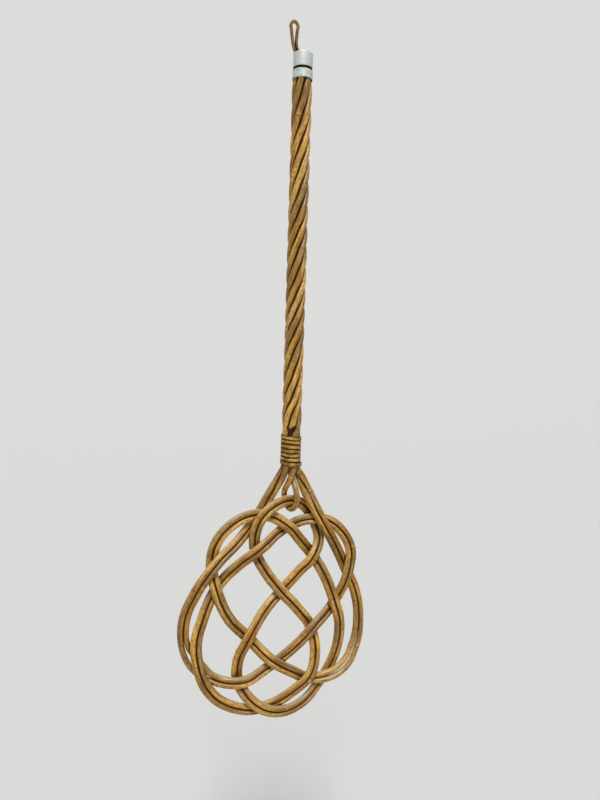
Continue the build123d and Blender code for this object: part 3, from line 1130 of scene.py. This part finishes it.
def make_canes():
    """The four canes of the handle and the knot, and the hanging loop."""
    draw = random.Random(random_seed)
    runs = cane_runs()
    cane = make_cane_material("cane", golden, cane_roughness, cane_coat, cane_wear)
    fresh_cane = make_cane_material("fresh_cane", yellow, cane_roughness, cane_coat, fresh_wear)
    thin_cane = make_cane_material("thin_cane", brown, loop_roughness, loop_coat, loop_wear)
    cut_end = make_end_material()
    looks = {
        "cane_outer": ("knot_cane_outer", "cane", cane, outer_growth_rings, cane_sides),
        "cane_inner": ("knot_cane_inner", "cane", cane, inner_growth_rings, cane_sides),
        "cane_staple": ("staple_cane", "cane", cane, staple_growth_rings, cane_sides),
        "cane_splice": ("splice_cane", "cane", fresh_cane, splice_growth_rings, cane_sides),
        "loop_strand": ("hanging_loop", "loop_cane", thin_cane, loop_growth_rings, loop_sides),
    }
    crowd = crowd_of(runs)
    for name, (samples, diameter) in runs.items():
        node, slot, material, rings, sides = looks[name]
        slant = splice_cut_slant if name == "cane_splice" else 0.0
        piece = make_cane(name, samples, diameter, sides, rings, crowd, draw, slant)
        finish_piece(piece, node, slot, material, cut_end)


def make_fittings():
    """The binding, the two metal rings and the look of the core."""
    draw = random.Random(random_seed + 1)
    finish_piece(make_binding(draw), "neck_binding", "split_cane", make_binding_material())
    cap = make_ferrule_ring(
        "cap_ring",
        cap_bottom_level + gap_widening,
        cap_height - gap_widening,
        cap_ring_radius,
        cap_dent,
        draw,
    )
    cap_metal = make_metal_material("cap_metal", cap_stain_strength)
    finish_piece(cap, "ferrule_cap", "ferrule_metal", cap_metal)
    collar = make_ferrule_ring(
        "collar_ring",
        collar_bottom_level,
        collar_height - gap_widening,
        collar_ring_radius,
        collar_dent,
        draw,
    )
    collar_metal = make_metal_material("collar_metal", collar_stain_strength)
    finish_piece(collar, "ferrule_collar", "ferrule_metal", collar_metal)
    core_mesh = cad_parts["core_cane"].data
    core_mesh.materials.clear()
    core_mesh.materials.append(make_core_material())


def make_floor():
    """A plain pale floor below the hanging beater."""
    reach = floor_half_size
    corners = [(-reach, -reach), (reach, -reach), (reach, reach), (-reach, reach)]
    mesh = bpy.data.meshes.new("floor")
    mesh.from_pydata([(x, y, floor_level) for x, y in corners], [], [(0, 1, 2, 3)])
    floor = bpy.data.objects.new("floor", mesh)
    bpy.context.collection.objects.link(floor)
    material, _, shader = material_nodes("floor")
    shader.inputs["Base Color"].default_value = floor_colour
    shader.inputs["Roughness"].default_value = floor_roughness
    shader.inputs["Specular IOR Level"].default_value = floor_gloss
    mesh.materials.append(material)


def aim(lamp, backwards):
    """Adds a lamp that shines against a direction."""
    lamp.rotation_euler = (-backwards).to_track_quat("-Z", "Y").to_euler()
    bpy.context.collection.objects.link(lamp)


def make_lights():
    """A key from above the front, a soft light from the front and a fill from behind."""
    for name, backwards, strength, softness in (
        ("key", key_from, key_strength, key_softness),
        ("front", front_from, front_strength, wide_softness),
        ("fill", fill_from, fill_strength, wide_softness),
    ):
        light = bpy.data.lights.new(name, "SUN")
        light.energy = strength
        light.angle = math.radians(softness)
        aim(bpy.data.objects.new(name, light), Vector(backwards))


def make_world():
    """A pale background, weaker as a light than as seen."""
    world = bpy.data.worlds.new("studio")
    bpy.context.scene.world = world
    world.use_nodes = True
    tree = world.node_tree
    background = tree.nodes["Background"]
    background.inputs["Color"].default_value = backdrop_colour
    path = add(tree, "ShaderNodeLightPath")
    seen = path.outputs["Is Camera Ray"]
    for other in ("Is Glossy Ray", "Is Transmission Ray"):
        seen = add(
            tree, "ShaderNodeMath", [(0, seen), (1, path.outputs[other])], operation="MAXIMUM"
        ).outputs[0]
    strength = between(tree, seen, 0.0, 1.0, ambient_strength, 1.0)
    tree.links.new(strength, background.inputs["Strength"])


def make_camera():
    """The camera at the photograph's place."""
    yaw, pitch, roll = (math.radians(angle) for angle in (camera_yaw, camera_pitch, camera_roll))
    ahead = Vector(
        (math.sin(yaw) * math.cos(pitch), math.cos(yaw) * math.cos(pitch), -math.sin(pitch))
    )
    level_right = Vector((math.cos(yaw), -math.sin(yaw), 0))
    level_down = ahead.cross(level_right)
    right = level_right * math.cos(roll) + level_down * math.sin(roll)
    down = level_down * math.cos(roll) - level_right * math.sin(roll)
    data = bpy.data.cameras.new("camera")
    data.sensor_fit = "VERTICAL"
    data.sensor_height = sensor_height
    data.lens = sensor_height * focal_length_in_pixels / picture_height
    data.clip_start = nearest_seen
    camera = bpy.data.objects.new("camera", data)
    axes = Matrix((right, -down, -ahead)).transposed().to_4x4()
    camera.matrix_world = Matrix.Translation(Vector(camera_place) * MM) @ axes
    bpy.context.collection.objects.link(camera)
    bpy.context.scene.camera = camera


make_canes()
make_fittings()
make_floor()
make_lights()
make_world()
make_camera()
bpy.context.scene.view_settings.view_transform = "Standard"
